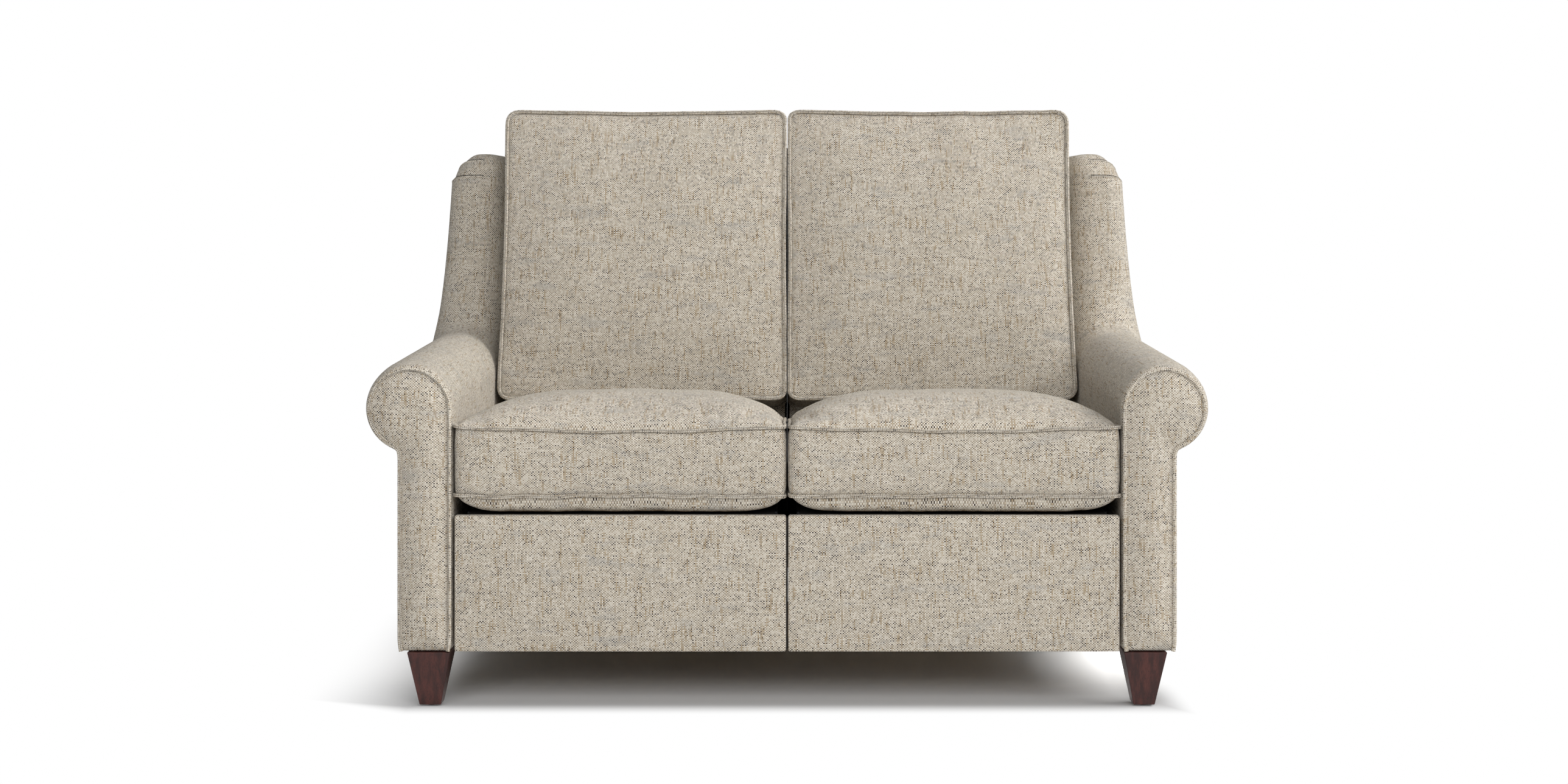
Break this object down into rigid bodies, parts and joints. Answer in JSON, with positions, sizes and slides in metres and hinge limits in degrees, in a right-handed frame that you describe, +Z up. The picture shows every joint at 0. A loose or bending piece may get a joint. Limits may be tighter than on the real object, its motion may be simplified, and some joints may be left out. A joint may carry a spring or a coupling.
{
  "type": "reclining loveseat",
  "caption": "High back upholstered settee with rolled arms, side wings, box cushions and tapered wood legs; each seat reclines and folds out a footrest.",
  "frame": {"origin": "on the floor under the middle of the whole settee", "axes": "+X to the settee's right-hand side as seen from in front, +Y to the back, +Z up"},
  "size_m": [1.5092, 0.9645, 1.0813],
  "materials": {
    "upholstery_fabric": "oatmeal tweed in a plain basket weave with dark flecks and tan slubs, self-fabric welts",
    "leg_wood": "dark red-brown stained hardwood with a satin finish",
    "frame_wood": "plain plywood and softwood, unfinished",
    "mechanism_steel": "black painted flat steel strip",
    "spring_steel": "bright spring wire",
    "glide_plastic": "black moulded nylon glide"
  },
  "bodies": {
    "root": {"arm_front_panel_left": "upholstery_fabric", "arm_pad_left": "upholstery_fabric", "wing_pad_left": "upholstery_fabric", "side_frame_left": "frame_wood", "leg_front_left": "leg_wood", "glide_front_left": "glide_plastic", "leg_rear_left": "leg_wood", "glide_rear_left": "glide_plastic", "track_inner_left": "mechanism_steel", "track_outer_left": "mechanism_steel", "arm_front_panel_right": "upholstery_fabric", "arm_pad_right": "upholstery_fabric", "wing_pad_right": "upholstery_fabric", "side_frame_right": "frame_wood", "leg_front_right": "leg_wood", "glide_front_right": "glide_plastic", "leg_rear_right": "leg_wood", "glide_rear_right": "glide_plastic", "track_inner_right": "mechanism_steel", "track_outer_right": "mechanism_steel", "front_stretcher": "frame_wood", "rear_rail": "frame_wood", "lower_back_panel": "upholstery_fabric"},
    "seat_left": {"side_plate_inner_left": "mechanism_steel", "side_plate_outer_left": "mechanism_steel", "seat_frame_left": "frame_wood", "seat_spring_1_left": "spring_steel", "seat_spring_2_left": "spring_steel", "seat_spring_3_left": "spring_steel", "seat_cushion_left": "upholstery_fabric"},
    "back_left": {"back_frame_left": "frame_wood", "outside_back_left": "upholstery_fabric", "back_cushion_left": "upholstery_fabric"},
    "footrest_arms_left": {"footrest_arm_inner_left": "mechanism_steel", "footrest_arm_outer_left": "mechanism_steel", "footrest_spreader_left": "mechanism_steel"},
    "footrest_links_left": {"footrest_link_inner_left": "mechanism_steel", "footrest_link_outer_left": "mechanism_steel"},
    "footrest_panel_left": {"footrest_board_left": "frame_wood", "footrest_pad_left": "upholstery_fabric"},
    "seat_right": {"side_plate_inner_right": "mechanism_steel", "side_plate_outer_right": "mechanism_steel", "seat_frame_right": "frame_wood", "seat_spring_1_right": "spring_steel", "seat_spring_2_right": "spring_steel", "seat_spring_3_right": "spring_steel", "seat_cushion_right": "upholstery_fabric"},
    "back_right": {"back_frame_right": "frame_wood", "outside_back_right": "upholstery_fabric", "back_cushion_right": "upholstery_fabric"},
    "footrest_arms_right": {"footrest_arm_inner_right": "mechanism_steel", "footrest_arm_outer_right": "mechanism_steel", "footrest_spreader_right": "mechanism_steel"},
    "footrest_links_right": {"footrest_link_inner_right": "mechanism_steel", "footrest_link_outer_right": "mechanism_steel"},
    "footrest_panel_right": {"footrest_board_right": "frame_wood", "footrest_pad_right": "upholstery_fabric"}
  },
  "joints": [
    {"name": "seat_slide_left", "type": "slide", "parent": "root", "child": "seat_left", "axis": [0, -1, 0], "range_m": [0, 0.0801]},
    {"name": "recline_left", "type": "hinge", "parent": "seat_left", "child": "back_left", "pos_m": [-0.295, 0.1775, 0.33], "axis": [-1, 0, 0], "range_deg": [0, 30]},
    {"name": "footrest_left", "type": "hinge", "parent": "seat_left", "child": "footrest_arms_left", "pos_m": [-0.295, -0.4025, 0.3], "axis": [-1, 0, 0], "range_deg": [0, 95]},
    {"name": "footrest_knee_left", "type": "hinge", "parent": "footrest_arms_left", "child": "footrest_links_left", "pos_m": [-0.295, -0.4025, 0.115], "axis": [-1, 0, 0], "range_deg": [-162, 0]},
    {"name": "footrest_tilt_left", "type": "hinge", "parent": "footrest_links_left", "child": "footrest_panel_left", "pos_m": [-0.295, -0.4275, 0.29], "axis": [-1, 0, 0], "range_deg": [0, 157]},
    {"name": "seat_slide_right", "type": "slide", "parent": "root", "child": "seat_right", "axis": [0, -1, 0], "range_m": [0, 0.0801]},
    {"name": "recline_right", "type": "hinge", "parent": "seat_right", "child": "back_right", "pos_m": [0.295, 0.1775, 0.33], "axis": [-1, 0, 0], "range_deg": [0, 30]},
    {"name": "footrest_right", "type": "hinge", "parent": "seat_right", "child": "footrest_arms_right", "pos_m": [0.295, -0.4025, 0.3], "axis": [-1, 0, 0], "range_deg": [0, 95]},
    {"name": "footrest_knee_right", "type": "hinge", "parent": "footrest_arms_right", "child": "footrest_links_right", "pos_m": [0.295, -0.4025, 0.115], "axis": [-1, 0, 0], "range_deg": [-162, 0]},
    {"name": "footrest_tilt_right", "type": "hinge", "parent": "footrest_links_right", "child": "footrest_panel_right", "pos_m": [0.295, -0.4275, 0.29], "axis": [-1, 0, 0], "range_deg": [0, 157]}
  ],
  "couplings": [
    {"joint": "seat_slide_left", "follows": "recline_left", "m_per_rad": 0.15279},
    {"joint": "footrest_knee_left", "follows": "footrest_left", "ratio": -1.7039},
    {"joint": "footrest_tilt_left", "follows": "footrest_left", "ratio": 1.6513},
    {"joint": "seat_slide_right", "follows": "recline_right", "m_per_rad": 0.15279},
    {"joint": "footrest_knee_right", "follows": "footrest_right", "ratio": -1.7039},
    {"joint": "footrest_tilt_right", "follows": "footrest_right", "ratio": 1.6513}
  ]
}
